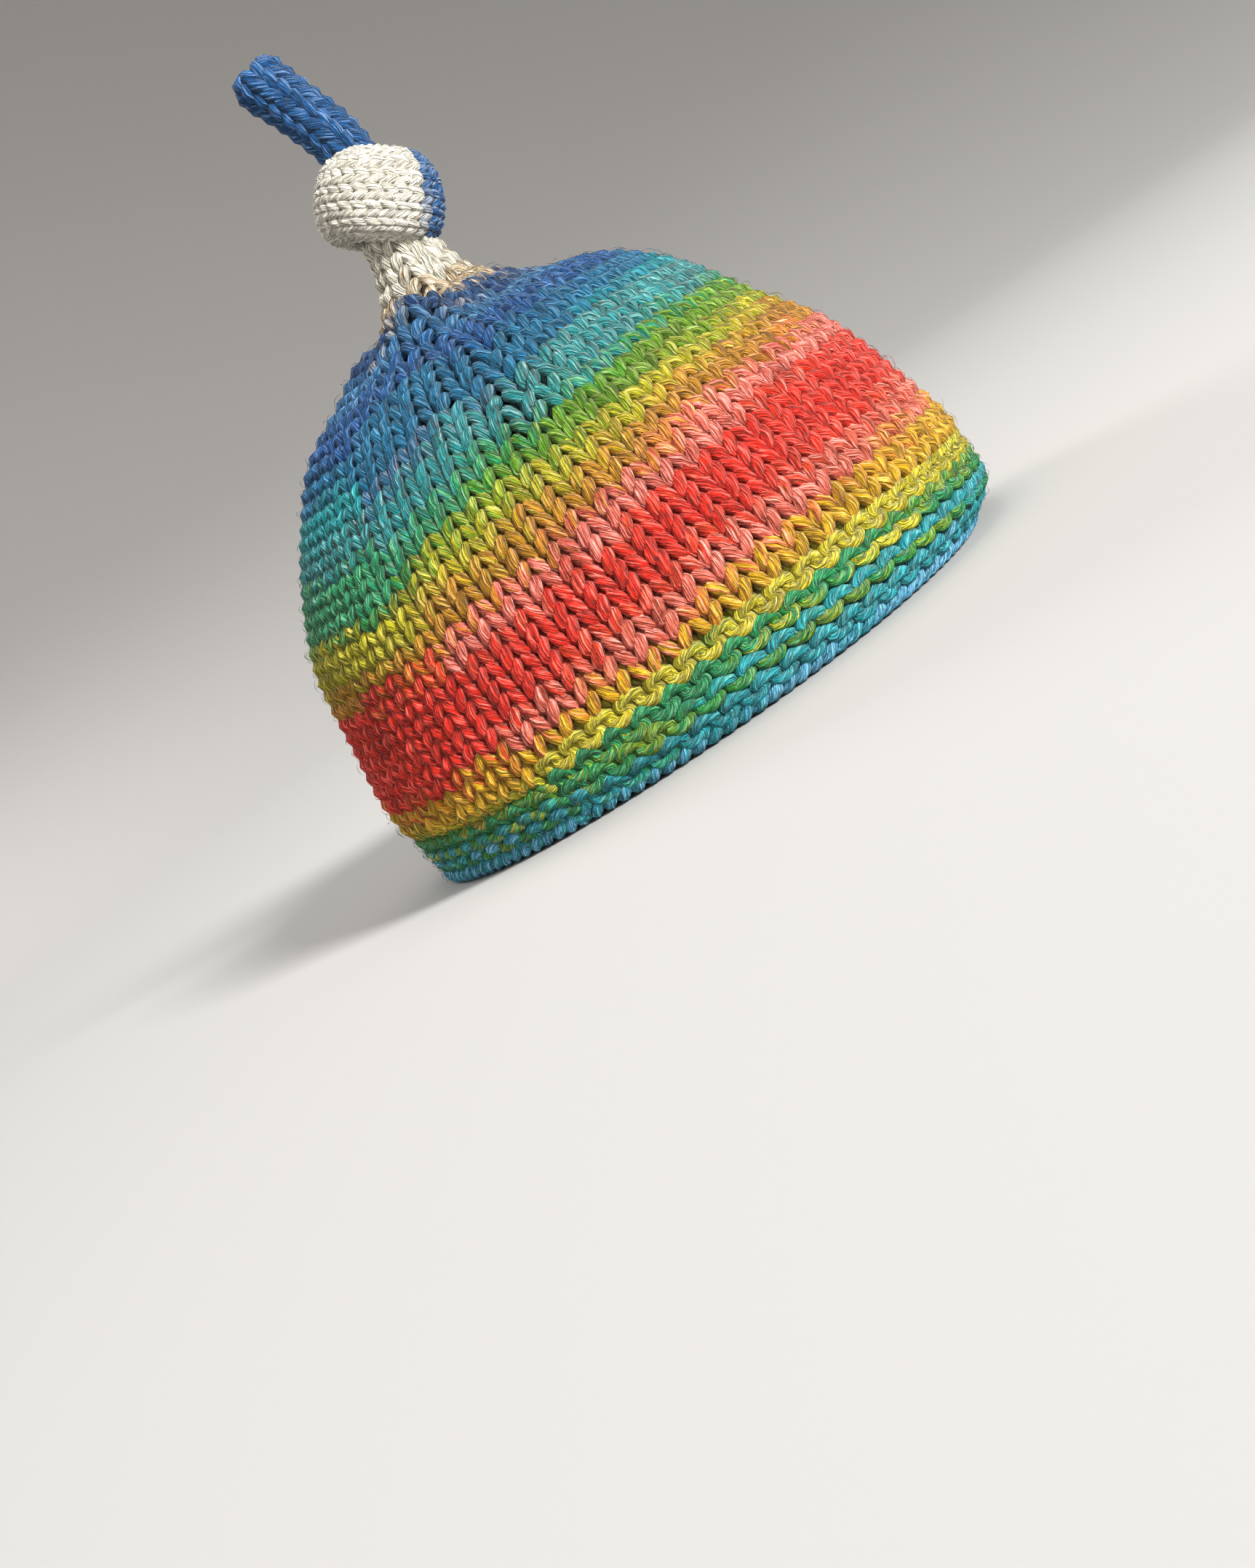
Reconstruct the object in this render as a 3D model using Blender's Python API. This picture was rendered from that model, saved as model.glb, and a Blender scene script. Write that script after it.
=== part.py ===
"""Knitted top knot beanie, standing on its rim.

Metres, +Z up, +X is the front of the hat. The rim lies on z = 0 and the widest length and
width are centred on x = 0 and y = 0. The garter band, the plain knitted body, the gathered
crown, the neck of cord, the wrap of its knot and the free tail are separate solids, each a
wall or a cord as thick as the knitting is, with a small gap where one meets the next.
"""
import math

import bmesh
import bpy
from mathutils import Matrix, Vector

# Outer sizes of the knitted dome
HAT_LENGTH = 0.1350
HAT_WIDTH = 0.1265
CROWN_HEIGHT = 0.0930

# The garter band, where the ridges stand out from the wall
BAND_HEIGHT = 0.0168
BAND_WALL = 0.0044
RIDGE_RELIEF = 0.0011
RIDGE_COUNT = 5

# The plain knitting above the band, and the share of the way up at which it starts to close
KNIT_WALL = 0.0040
GATHER_START = 0.66

# Folds that the gathered stitches push up round the neck. FOLD_INSIDE is the share of them
# that shows on the inner side of the wall.
FOLD_RISE = 0.0060
FOLD_REACH = 0.0165
FOLD_BREADTH = 0.0058
FOLD_EASE = 0.0041
FOLD_INSIDE = 0.60

# The neck of cord, and the core that goes on through the knot
NECK_SETBACK = 0.0035
NECK_BASE_RADIUS = 0.0124
NECK_WAIST_RADIUS = 0.0064
NECK_HEIGHT = 0.0134
CORE_RADIUS = 0.0040
CORE_TAPER = 0.0036
CORD_LEAN = 0.0036

# The knot, a turn of cord pulled tight about the core. KNOT_PASSAGE is the height of core
# inside it, as a share of KNOT_HEIGHT.
KNOT_RADIUS = 0.0127
KNOT_HEIGHT = 0.0184
KNOT_PASSAGE = 1.04
KNOT_FORWARD = 0.0010
KNOT_TILT = math.radians(35.0)

# The free end of the cord
CORD_RADIUS = 0.0050
TAIL_LENGTH = 0.0240

# Clearance between pieces that touch
GAP = 0.0003

# Facets round the dome, round the cord and round the knot
DOME_SIDES = 60
CORD_SIDES = 20
KNOT_SIDES = 28

# Outer skin from the rim to the neck. along: share of the way up the cloth, height: share of
# CROWN_HEIGHT, front and back: shares of half HAT_LENGTH, side: share of half HAT_WIDTH.
SECTION_COLUMNS = ("along", "height", "front", "back", "side")
SECTIONS = (
    (0.00, 0.000, 0.886, 0.970, 0.943),
    (0.07, 0.080, 1.000, 0.985, 0.995),
    (0.17, 0.200, 0.990, 1.000, 1.000),
    (0.29, 0.350, 0.935, 0.973, 0.960),
    (0.42, 0.500, 0.865, 0.942, 0.910),
    (0.55, 0.650, 0.726, 0.849, 0.793),
    (0.68, 0.780, 0.606, 0.727, 0.671),
    (0.79, 0.880, 0.450, 0.603, 0.530),
    (0.90, 0.945, 0.245, 0.430, 0.345),
)

# Folds round the neck. toward: degrees from the front, turning left, rise: share of
# FOLD_RISE, spread: degrees, reach: share of FOLD_REACH from the neck's centre line.
FOLD_COLUMNS = ("toward", "rise", "spread", "reach")
FOLDS = (
    (-108.0, 1.00, 24.0, 1.00),
    (-62.0, -0.45, 20.0, 1.25),
    (-20.0, -0.10, 24.0, 1.45),
    (38.0, -0.25, 24.0, 1.30),
    (86.0, 0.55, 26.0, 1.15),
    (132.0, -0.30, 20.0, 1.25),
    (178.0, 0.45, 26.0, 1.10),
)

# The neck. rise: share of NECK_HEIGHT, flare: share of the way from waist to base radius.
NECK_COLUMNS = ("rise", "flare")
NECK_SECTIONS = (
    (0.00, 1.00),
    (0.08, 0.84),
    (0.16, 0.69),
    (0.28, 0.50),
    (0.42, 0.34),
    (0.58, 0.22),
    (0.76, 0.11),
    (0.92, 0.03),
)

# The turn of the knot about its own axis. level: share of KNOT_HEIGHT from its middle,
# girth: share of KNOT_RADIUS.
KNOT_COLUMNS = ("level", "girth")
KNOT_SECTIONS = (
    (-0.500, 0.60),
    (-0.470, 0.78),
    (-0.390, 0.90),
    (-0.260, 0.97),
    (-0.080, 1.00),
    (0.110, 0.97),
    (0.270, 0.89),
    (0.400, 0.75),
    (0.470, 0.60),
    (0.500, 0.42),
)

# The free tail. rise and drift: shares of TAIL_LENGTH up and towards the back, girth: share
# of CORD_RADIUS. The last rows round off the cast-off end.
TAIL_COLUMNS = ("rise", "drift", "girth")
TAIL_SECTIONS = (
    (0.00, 0.000, 0.97),
    (0.14, 0.015, 0.99),
    (0.28, 0.050, 0.99),
    (0.42, 0.098, 0.99),
    (0.56, 0.147, 1.00),
    (0.70, 0.200, 1.03),
    (0.82, 0.248, 1.07),
    (0.91, 0.278, 1.02),
    (0.97, 0.298, 0.80),
    (1.00, 0.308, 0.45),
)

# Colours and finish of the plain materials
SOFT_ROUGHNESS = 0.9
COLOURS = {
    "garter_band": (0.05, 0.33, 0.30, 1.0),
    "knit_body": (0.80, 0.12, 0.07, 1.0),
    "gathered_crown": (0.07, 0.22, 0.48, 1.0),
    "cord_neck": (0.78, 0.68, 0.52, 1.0),
    "knot_wrap": (0.86, 0.80, 0.66, 1.0),
    "cord_tail": (0.10, 0.27, 0.60, 1.0),
}


def clear_scene():
    """Start from an empty scene."""
    for old in list(bpy.data.objects):
        bpy.data.objects.remove(old)


def rows(table, columns):
    """Rows of a table, with each value under its column's name."""
    return [dict(zip(columns, row)) for row in table]


def steps(start, stop, count):
    """Evenly spaced values with both ends."""
    return [start + (stop - start) * number / (count - 1) for number in range(count)]


def ease(share):
    """Smooth step from 0 to 1, flat at both ends."""
    held = min(max(share, 0.0), 1.0)
    return held * held * (3 - 2 * held)


def smooth_value(places, values, at):
    """Value at a place on a smooth curve through a table's points, which never overshoots."""
    last = len(places) - 1
    if at <= places[0]:
        return values[0]
    if at >= places[last]:
        return values[last]
    slopes = [(values[i + 1] - values[i]) / (places[i + 1] - places[i]) for i in range(last)]

    def tangent(i):
        if i in (0, last):
            return slopes[0] if i == 0 else slopes[last - 1]
        before, after = slopes[i - 1], slopes[i]
        return 0.0 if before * after <= 0 else 2.0 * before * after / (before + after)

    step = max(i for i in range(last) if places[i] <= at)
    span = places[step + 1] - places[step]
    t = (at - places[step]) / span
    level = values[step] + (values[step + 1] - values[step]) * ease(t)
    bend = tangent(step) * t * (1 - t) ** 2 - tangent(step + 1) * t * t * (1 - t)
    return level + bend * span


# The dome: sizes of its skin, worked out from the table and from the neck's seat


def dome_sizes(along):
    """Height, front, back and side of the outer skin, metres, at a share of the way up."""
    table = rows(SECTIONS, SECTION_COLUMNS)
    places = [row["along"] for row in table] + [1.0]
    # Full size that each column's shares are of, and the size at the seat of the neck
    ends = {
        "height": (CROWN_HEIGHT, CROWN_HEIGHT),
        "front": (HAT_LENGTH / 2, NECK_BASE_RADIUS - NECK_SETBACK),
        "back": (HAT_LENGTH / 2, NECK_BASE_RADIUS + NECK_SETBACK),
        "side": (HAT_WIDTH / 2, NECK_BASE_RADIUS),
    }
    return [smooth_value(places, [row[name] * full for row in table] + [seat], along)
            for name, (full, seat) in ends.items()]


def fold_height(x, y):
    """How far the gathers lift the crown over a point."""
    out_x = x + NECK_SETBACK
    reach = math.hypot(out_x, y)
    toward = math.degrees(math.atan2(y, out_x))
    lift = 0.0
    for fold in rows(FOLDS, FOLD_COLUMNS):
        off = (toward - fold["toward"] + 180.0) % 360.0 - 180.0
        across = math.exp(-((off / fold["spread"]) ** 2))
        outward = math.exp(-(((reach - fold["reach"] * FOLD_REACH) / FOLD_BREADTH) ** 2))
        lift += fold["rise"] * FOLD_RISE * across * outward
    return lift * ease((reach - NECK_BASE_RADIUS) / FOLD_EASE)


def skin_point(turn, along, folds):
    """Point of the outer skin. turn: radians from the front, folds: share of the gathers."""
    height, front, back, side = dome_sizes(along)
    reach = front if math.cos(turn) > 0 else back
    x = reach * math.cos(turn)
    y = side * math.sin(turn)
    lift = folds * fold_height(x, y) if folds else 0.0
    return Vector((x, y, height + lift))


def skin_normal(turn, along):
    """Outward direction of the skin without its folds."""
    nudge = 0.004
    low, high = max(along - nudge, 0.0), min(along + nudge, 1.0)
    upward = skin_point(turn, high, 0.0) - skin_point(turn, low, 0.0)
    onward = skin_point(turn + nudge, along, 0.0) - skin_point(turn - nudge, along, 0.0)
    return onward.cross(upward).normalized()


def along_at_height(height):
    """Share of the way up the cloth at which the skin reaches a height."""
    low, high = 0.0, 1.0
    halvings = 40
    for _ in range(halvings):
        middle = (low + high) / 2
        if dome_sizes(middle)[0] < height:
            low = middle
        else:
            high = middle
    return (low + high) / 2


def wall_loop(along, depth, folds):
    """Loop of the dome's wall at a depth under the outer skin."""
    def point(turn):
        return skin_point(turn, along, folds) - depth * skin_normal(turn, along)
    return point


def rim_loop(depth):
    """Loop on the floor plane at a depth inside the outer skin."""
    def point(turn):
        inward = skin_normal(turn, 0.0)
        inward.z = 0.0
        return skin_point(turn, 0.0, 0.0) - depth * inward.normalized()
    return point


def loft(name, loops, sides, closed_ring):
    """A closed solid: a loop of vertices is extruded through each section in turn.

    loops is a list of functions from an angle to a point. A ring joins its last loop to its
    first, and any other solid has its two end loops filled.
    """
    shape = bmesh.new()
    turn = shape.verts.layers.float.new("turn")
    circle = bmesh.ops.create_circle(shape, segments=sides, radius=1.0, cap_ends=not closed_ring)
    for vert in circle["verts"]:
        vert[turn] = math.atan2(vert.co.y, vert.co.x)
        vert.co = loops[0](vert[turn])
    first_edges = list(shape.edges)
    edges = first_edges
    for loop in loops[1:]:
        made = bmesh.ops.extrude_edge_only(shape, edges=edges)["geom"]
        new_verts = {item for item in made if isinstance(item, bmesh.types.BMVert)}
        for vert in new_verts:
            vert.co = loop(vert[turn])
        edges = [item for item in made if isinstance(item, bmesh.types.BMEdge)
                 and item.verts[0] in new_verts and item.verts[1] in new_verts]
    if closed_ring:
        bmesh.ops.bridge_loops(shape, edges=first_edges + edges)
    else:
        bmesh.ops.contextual_create(shape, geom=edges)
    bmesh.ops.recalc_face_normals(shape, faces=shape.faces)
    mesh = bpy.data.meshes.new(name)
    shape.to_mesh(mesh)
    shape.free()
    mesh.shade_smooth()
    part = bpy.data.objects.new(name, mesh)
    bpy.context.collection.objects.link(part)
    return part


def garter_band():
    """Ring with rounded ridges outside, smooth inside and flat where it rests."""
    rows_per_ridge = 4
    row_count = RIDGE_COUNT * rows_per_ridge
    band_top = BAND_HEIGHT - GAP
    loops = [rim_loop(BAND_WALL), rim_loop(RIDGE_RELIEF)]
    for share in steps(1 / row_count, 1.0, row_count):
        under_crest = RIDGE_RELIEF * (0.5 + 0.5 * math.cos(2 * math.pi * RIDGE_COUNT * share))
        loops.append(wall_loop(along_at_height(share * band_top), under_crest, 0.0))
    top = along_at_height(band_top)
    loops.append(wall_loop(top, BAND_WALL, 0.0))
    loops.append(wall_loop(top / 2, BAND_WALL, 0.0))
    return loft("garter_band", loops, DOME_SIDES, True)


def knit_body():
    """The plain part of the dome, from the band to where the wall starts to close."""
    outer_rows, inner_rows = 11, 8
    low = along_at_height(BAND_HEIGHT)
    high = GATHER_START - GAP / CROWN_HEIGHT
    outer = [wall_loop(along, 0.0, 1.0) for along in steps(low, high, outer_rows)]
    inner = [wall_loop(along, KNIT_WALL, 1.0) for along in steps(high, low, inner_rows)]
    return loft("knit_body", outer + inner, DOME_SIDES, True)


def gathered_crown():
    """The closing top, lifted in folds round the flat seat of the neck."""
    outer_rows, inner_rows = 17, 10
    outer = [wall_loop(along, 0.0, 1.0) for along in steps(1.0, GATHER_START, outer_rows)]
    inner = []
    for share in steps(0.0, 1.0, inner_rows):
        along = GATHER_START + share * (1.0 - GATHER_START)
        inner.append(wall_loop(along, KNIT_WALL, FOLD_INSIDE * (1.0 - ease(share))))
    return loft("gathered_crown", outer + inner, DOME_SIDES, False)


# The cord: neck, core and tail are one line that leans forward as it rises


def knot_low():
    """Height at which the cord enters the knot."""
    return CROWN_HEIGHT + NECK_HEIGHT


def knot_high():
    """Height at which the cord leaves the knot."""
    return knot_low() + KNOT_HEIGHT * KNOT_PASSAGE


def knot_middle():
    """Height of the middle of the knot, where neck and tail meet."""
    return (knot_low() + knot_high()) / 2


def cord_centre(height):
    """Centre line of the cord from the seat up to the top of the knot."""
    share = (height - CROWN_HEIGHT) / (knot_high() - CROWN_HEIGHT)
    return Vector((-NECK_SETBACK + CORD_LEAN * share, 0.0, height))


def cord_loop(centre, radius, axis=Vector((0.0, 0.0, 1.0))):
    """Circle across an axis that lies in the plane of the hat's length and height."""
    across = Vector((axis.z, 0.0, -axis.x))
    sideways = Vector((0.0, 1.0, 0.0))

    def point(turn):
        return centre + radius * (math.cos(turn) * across + math.sin(turn) * sideways)
    return point


def neck_loops(spare):
    """Loops of the neck from its seat to the middle of the knot, larger by a spare width."""
    low = CROWN_HEIGHT + GAP - 3 * spare
    loops = []
    for row in rows(NECK_SECTIONS, NECK_COLUMNS):
        radius = NECK_WAIST_RADIUS + row["flare"] * (NECK_BASE_RADIUS - NECK_WAIST_RADIUS)
        centre = cord_centre(low + row["rise"] * (knot_low() - low))
        loops.append(cord_loop(centre, radius + spare))
    loops.append(cord_loop(cord_centre(knot_low() + CORE_TAPER), CORE_RADIUS + spare))
    loops.append(cord_loop(cord_centre(knot_middle() - GAP / 2 + 2 * spare), CORE_RADIUS + spare))
    return loops


def tail_loops(spare):
    """Loops of the tail from the middle of the knot to its rounded end."""
    loops = [
        cord_loop(cord_centre(knot_middle() + GAP / 2 - 2 * spare), CORE_RADIUS + spare),
        cord_loop(cord_centre(knot_high() - CORE_TAPER), CORE_RADIUS + spare),
    ]
    table = rows(TAIL_SECTIONS, TAIL_COLUMNS)
    centres = [cord_centre(knot_high()) + TAIL_LENGTH * Vector((-row["drift"], 0.0, row["rise"]))
               for row in table]
    for number, row in enumerate(table):
        before = centres[max(number - 1, 0)]
        after = centres[min(number + 1, len(centres) - 1)]
        axis = (after - before).normalized()
        loops.append(cord_loop(centres[number], row["girth"] * CORD_RADIUS + spare, axis))
    return loops


def knot_wrap():
    """Rounded turn of the cord about its own tilted axis, cut out for the core."""
    middle = cord_centre(knot_middle()) + Vector((KNOT_FORWARD, 0.0, 0.0))
    tilt = Matrix.Rotation(KNOT_TILT, 3, "Y")

    def ring(level, radius):
        def point(turn):
            flat = Vector((radius * math.cos(turn), radius * math.sin(turn), level))
            return middle + tilt @ flat
        return point

    loops = [ring(row["level"] * KNOT_HEIGHT, row["girth"] * KNOT_RADIUS)
             for row in rows(KNOT_SECTIONS, KNOT_COLUMNS)]
    knot = loft("knot_wrap", loops, KNOT_SIDES, False)
    for name, loops_of in (("neck_cutter", neck_loops), ("tail_cutter", tail_loops)):
        cutter = loft(name, loops_of(GAP), CORD_SIDES, False)
        cutter.hide_render = True
        cutter.display_type = "WIRE"
        cut = knot.modifiers.new(name, "BOOLEAN")
        cut.operation = "DIFFERENCE"
        cut.solver = "EXACT"
        cut.object = cutter
    return knot


def knit_material(part):
    """Matt yarn in the piece's own colour."""
    material = bpy.data.materials.new(part.name)
    material.use_nodes = True
    shader = material.node_tree.nodes["Principled BSDF"]
    shader.inputs["Base Color"].default_value = COLOURS[part.name]
    shader.inputs["Roughness"].default_value = SOFT_ROUGHNESS
    shader.inputs["Metallic"].default_value = 0.0
    part.data.materials.append(material)


def build():
    """Every piece of the hat, from the rim up."""
    clear_scene()
    neck = loft("cord_neck", neck_loops(0.0), CORD_SIDES, False)
    tail = loft("cord_tail", tail_loops(0.0), CORD_SIDES, False)
    for part in (garter_band(), knit_body(), gathered_crown(), neck, knot_wrap(), tail):
        knit_material(part)


build()
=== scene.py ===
import math

import bmesh
import bpy
import numpy as np
from mathutils import Matrix, Vector


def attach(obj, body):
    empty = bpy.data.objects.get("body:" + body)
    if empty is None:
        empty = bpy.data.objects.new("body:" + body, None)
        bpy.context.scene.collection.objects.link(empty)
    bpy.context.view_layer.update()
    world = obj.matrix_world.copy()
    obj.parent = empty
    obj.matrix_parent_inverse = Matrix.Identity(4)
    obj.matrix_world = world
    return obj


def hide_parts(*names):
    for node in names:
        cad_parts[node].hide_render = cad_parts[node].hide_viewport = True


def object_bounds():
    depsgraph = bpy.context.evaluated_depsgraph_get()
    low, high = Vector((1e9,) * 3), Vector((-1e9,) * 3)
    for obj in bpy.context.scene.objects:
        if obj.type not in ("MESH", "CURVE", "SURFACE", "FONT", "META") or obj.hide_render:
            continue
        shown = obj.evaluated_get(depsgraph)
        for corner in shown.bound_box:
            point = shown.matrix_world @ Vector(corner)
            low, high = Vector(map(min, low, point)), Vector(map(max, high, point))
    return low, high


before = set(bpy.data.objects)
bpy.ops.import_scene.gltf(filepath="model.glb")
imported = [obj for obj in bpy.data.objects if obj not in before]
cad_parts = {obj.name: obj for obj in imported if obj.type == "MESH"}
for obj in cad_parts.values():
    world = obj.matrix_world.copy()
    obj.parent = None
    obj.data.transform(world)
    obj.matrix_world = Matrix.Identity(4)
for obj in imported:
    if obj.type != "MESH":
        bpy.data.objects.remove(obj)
cad_low, cad_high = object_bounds()


# The camera stands where the photograph was taken: a little above the rim, close in, and
# rolled so that the hat leans to the left.
EYE = Vector((-0.02586, -0.39680, 0.05075))
LOOK_DOWN = math.radians(8.0)
ROLL = math.radians(35.15)
camera_data = bpy.data.cameras.new("camera")
camera_data.lens = 45.72
camera_data.sensor_width = 36.0
camera_data.sensor_fit = "AUTO"
camera_data.clip_start = 0.01
camera = bpy.data.objects.new("camera", camera_data)
bpy.context.collection.objects.link(camera)
upright = Matrix.Rotation(math.pi / 2 - LOOK_DOWN, 4, "X")
camera.matrix_world = Matrix.Translation(EYE) @ upright @ Matrix.Rotation(-ROLL, 4, "Z")
bpy.context.scene.camera = camera


# The studio is a pale sheet that lies flat under the hat and sweeps up all round it, with
# broad soft lights. It is not part of the hat.
def srgb(red, green, blue):
    """Linear colour of a shade given from 0 to 255, as a screen shows it."""
    shares = np.array((red, green, blue)) / 255.0
    linear = np.where(shares > 0.04045, ((shares + 0.055) / 1.055) ** 2.4, shares / 12.92)
    return [float(value) for value in linear]


def add_object(name, shape):
    """Object at the origin from a bmesh, which is freed."""
    mesh = bpy.data.meshes.new(name)
    shape.to_mesh(mesh)
    shape.free()
    mesh.shade_smooth()
    made = bpy.data.objects.new(name, mesh)
    bpy.context.collection.objects.link(made)
    return made


SHEET_FLAT, SHEET_COVE, SHEET_WALL = 0.9, 1.5, 0.8
COVE_STEPS, SHEET_SIDES = 16, 64
# The sheet's colour near the middle and far out, and the share of the way out where it starts to
# lighten. It is painted lighter towards the wall, as painted light where less of the lamps' light
# reaches.
SHEET_NEAR, SHEET_FAR, NEAR_SHARE = srgb(172, 170, 167), srgb(196, 193, 189), 0.15
sheet_shape = bmesh.new()
profile = [sheet_shape.verts.new((0.0, 0.0, 0.0)), sheet_shape.verts.new((SHEET_FLAT, 0.0, 0.0))]
for step in range(1, COVE_STEPS + 1):
    bend = step / COVE_STEPS * math.pi / 2
    profile.append(sheet_shape.verts.new((SHEET_FLAT + SHEET_COVE * math.sin(bend), 0.0,
                                          SHEET_COVE * (1 - math.cos(bend)))))
profile.append(sheet_shape.verts.new((SHEET_FLAT + SHEET_COVE, 0.0, SHEET_COVE + SHEET_WALL)))
profile_edges = [sheet_shape.edges.new(pair) for pair in zip(profile, profile[1:])]
bmesh.ops.spin(sheet_shape, geom=profile + profile_edges, cent=(0, 0, 0), axis=(0, 0, 1),
               angle=2 * math.pi, steps=SHEET_SIDES, use_merge=True)
bmesh.ops.remove_doubles(sheet_shape, verts=sheet_shape.verts, dist=1e-5)
bmesh.ops.recalc_face_normals(sheet_shape, faces=sheet_shape.faces)
sheet = add_object("studio_sheet", sheet_shape)
sheet_material = bpy.data.materials.new("pale_studio_sheet")
sheet_material.use_nodes = True
sheet_nodes, sheet_links = sheet_material.node_tree.nodes, sheet_material.node_tree.links
sheet_shader = sheet_nodes["Principled BSDF"]
sheet_spot = sheet_nodes.new("ShaderNodeTexCoord")
sheet_reach = sheet_nodes.new("ShaderNodeVectorMath")
sheet_reach.operation = "LENGTH"
sheet_links.new(sheet_spot.outputs["Object"], sheet_reach.inputs[0])
sheet_share = sheet_nodes.new("ShaderNodeMath")
sheet_share.operation = "DIVIDE"
sheet_share.inputs[1].default_value = SHEET_FLAT + SHEET_COVE
sheet_links.new(sheet_reach.outputs["Value"], sheet_share.inputs[0])
sheet_ramp = sheet_nodes.new("ShaderNodeValToRGB")
sheet_ramp.color_ramp.elements[0].color = (*SHEET_NEAR, 1.0)
sheet_ramp.color_ramp.elements[0].position = NEAR_SHARE
sheet_ramp.color_ramp.elements[1].color = (*SHEET_FAR, 1.0)
sheet_links.new(sheet_share.outputs[0], sheet_ramp.inputs[0])
sheet_links.new(sheet_ramp.outputs[0], sheet_shader.inputs["Base Color"])
sheet_shader.inputs["Roughness"].default_value = 0.9
sheet_shader.inputs["Specular IOR Level"].default_value = 0.0
sheet.data.materials.append(sheet_material)

HAT_MIDDLE = Vector((0.0, 0.0, 0.06))
# Each light: its place, its width in metres, its watts, and the degrees that it throws across.
LIGHTS = (
    ("key_light", (1.14, -1.52, 1.04), 0.48, 11.5, 62.0),
    ("front_light", (-0.10, -1.00, 0.20), 0.50, 3.0, 180.0),
    ("rear_light", (-0.90, 1.40, 0.90), 0.70, 7.0, 120.0),
    ("top_light", (0.05, 0.20, 1.10), 0.70, 3.0, 180.0),
    ("room_light", (0.0, 0.0, 2.25), 3.20, 26.0, 180.0),
)
for name, spot, width, watts, spread in LIGHTS:
    light = bpy.data.lights.new(name, "AREA")
    light.shape = "DISK"
    light.size = width
    light.energy = watts
    light.spread = math.radians(spread)
    lamp = bpy.data.objects.new(name, light)
    bpy.context.collection.objects.link(lamp)
    aim = (HAT_MIDDLE - Vector(spot)).to_track_quat("-Z", "Y").to_matrix().to_4x4()
    lamp.matrix_world = Matrix.Translation(spot) @ aim
world = bpy.data.worlds.new("studio")
world.use_nodes = True
world.node_tree.nodes["Background"].inputs["Color"].default_value = (*srgb(235, 235, 240), 1.0)
world.node_tree.nodes["Background"].inputs["Strength"].default_value = 0.18
bpy.context.scene.world = world
bpy.context.scene.view_settings.view_transform = "Standard"


# The garter band is the first knitting: a corded cast-on edge that rests on the floor, then
# rounds knitted and purled in turn, which make four ridges in blue, teal, green and yellow.
# It is matt plied wool, knitted on a form that the body, the crown and the neck go on up.
DOME_FRONT = cad_high.x
DOME_SIDE = cad_high.y
CROWN_HEIGHT = 0.0930
SEAT_RADIUS = 0.0124
NECK_SETBACK = 0.0035
# The dome's outer skin, from the rim to the neck: the share of the way up, the height as a
# share of the crown's, then the front, back and side as shares of the half length and width.
DOME = np.array((
    (0.00, 0.000, 0.886, 0.970, 0.943), (0.07, 0.080, 1.000, 0.985, 0.995),
    (0.17, 0.200, 0.990, 1.000, 1.000), (0.29, 0.350, 0.935, 0.973, 0.960),
    (0.42, 0.500, 0.865, 0.942, 0.910), (0.55, 0.650, 0.726, 0.849, 0.793),
    (0.68, 0.780, 0.606, 0.727, 0.671), (0.79, 0.880, 0.450, 0.603, 0.530),
    (0.90, 0.945, 0.245, 0.430, 0.345),
    (1.00, 1.000, (SEAT_RADIUS - NECK_SETBACK) / DOME_FRONT,
     (SEAT_RADIUS + NECK_SETBACK) / DOME_FRONT, SEAT_RADIUS / DOME_SIDE),
))
# Folds that the gathers push up round the neck: degrees from the front, turning left, rise as
# a share of FOLD_RISE, spread in degrees, and reach as a share of FOLD_REACH.
FOLDS = ((-108.0, 1.00, 24.0, 1.00), (-62.0, -0.45, 20.0, 1.25), (-20.0, -0.10, 24.0, 1.45),
         (38.0, -0.25, 24.0, 1.30), (86.0, 0.55, 26.0, 1.15), (132.0, -0.30, 20.0, 1.25),
         (178.0, 0.30, 26.0, 1.10))
FOLD_RISE, FOLD_REACH, FOLD_BREADTH, FOLD_EASE = 0.0060, 0.0165, 0.0058, 0.0041
# The neck above the seat: share of its height, and flare from the waist's radius to the seat's.
NECK_HEIGHT, NECK_WAIST, CORD_LEAN = 0.0134, 0.0064, 0.0036
NECK = np.array(((0.00, 1.00), (0.08, 0.84), (0.16, 0.69), (0.28, 0.50), (0.42, 0.34),
                 (0.58, 0.22), (0.76, 0.11), (0.92, 0.03), (1.00, 0.00), (1.40, 0.00)))
KNOT_HEIGHT, KNOT_PASSAGE = 0.0184, 1.04
KNOT_LOW = CROWN_HEIGHT + NECK_HEIGHT
KNOT_HIGH = KNOT_LOW + KNOT_HEIGHT * KNOT_PASSAGE


def ease(share):
    """Smooth step from 0 to 1, flat at both ends."""
    held = np.clip(share, 0.0, 1.0)
    return held * held * (3 - 2 * held)


def smooth_curve(places, values, at):
    """Values on a smooth curve through a table's points, which never overshoots."""
    slopes = np.diff(values) / np.diff(places)
    tangents = np.concatenate((slopes[:1], np.zeros(len(slopes) - 1), slopes[-1:]))
    same = slopes[:-1] * slopes[1:] > 0
    inner = 2 * slopes[:-1] * slopes[1:] / np.where(same, slopes[:-1] + slopes[1:], 1.0)
    tangents[1:-1] = np.where(same, inner, 0.0)
    step = np.clip(np.searchsorted(places, at, side="right") - 1, 0, len(slopes) - 1)
    span = places[step + 1] - places[step]
    t = np.clip((at - places[step]) / span, 0.0, 1.0)
    level = values[step] + (values[step + 1] - values[step]) * ease(t)
    bend = tangents[step] * t * (1 - t) ** 2 - tangents[step + 1] * t * t * (1 - t)
    return level + bend * span


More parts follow.
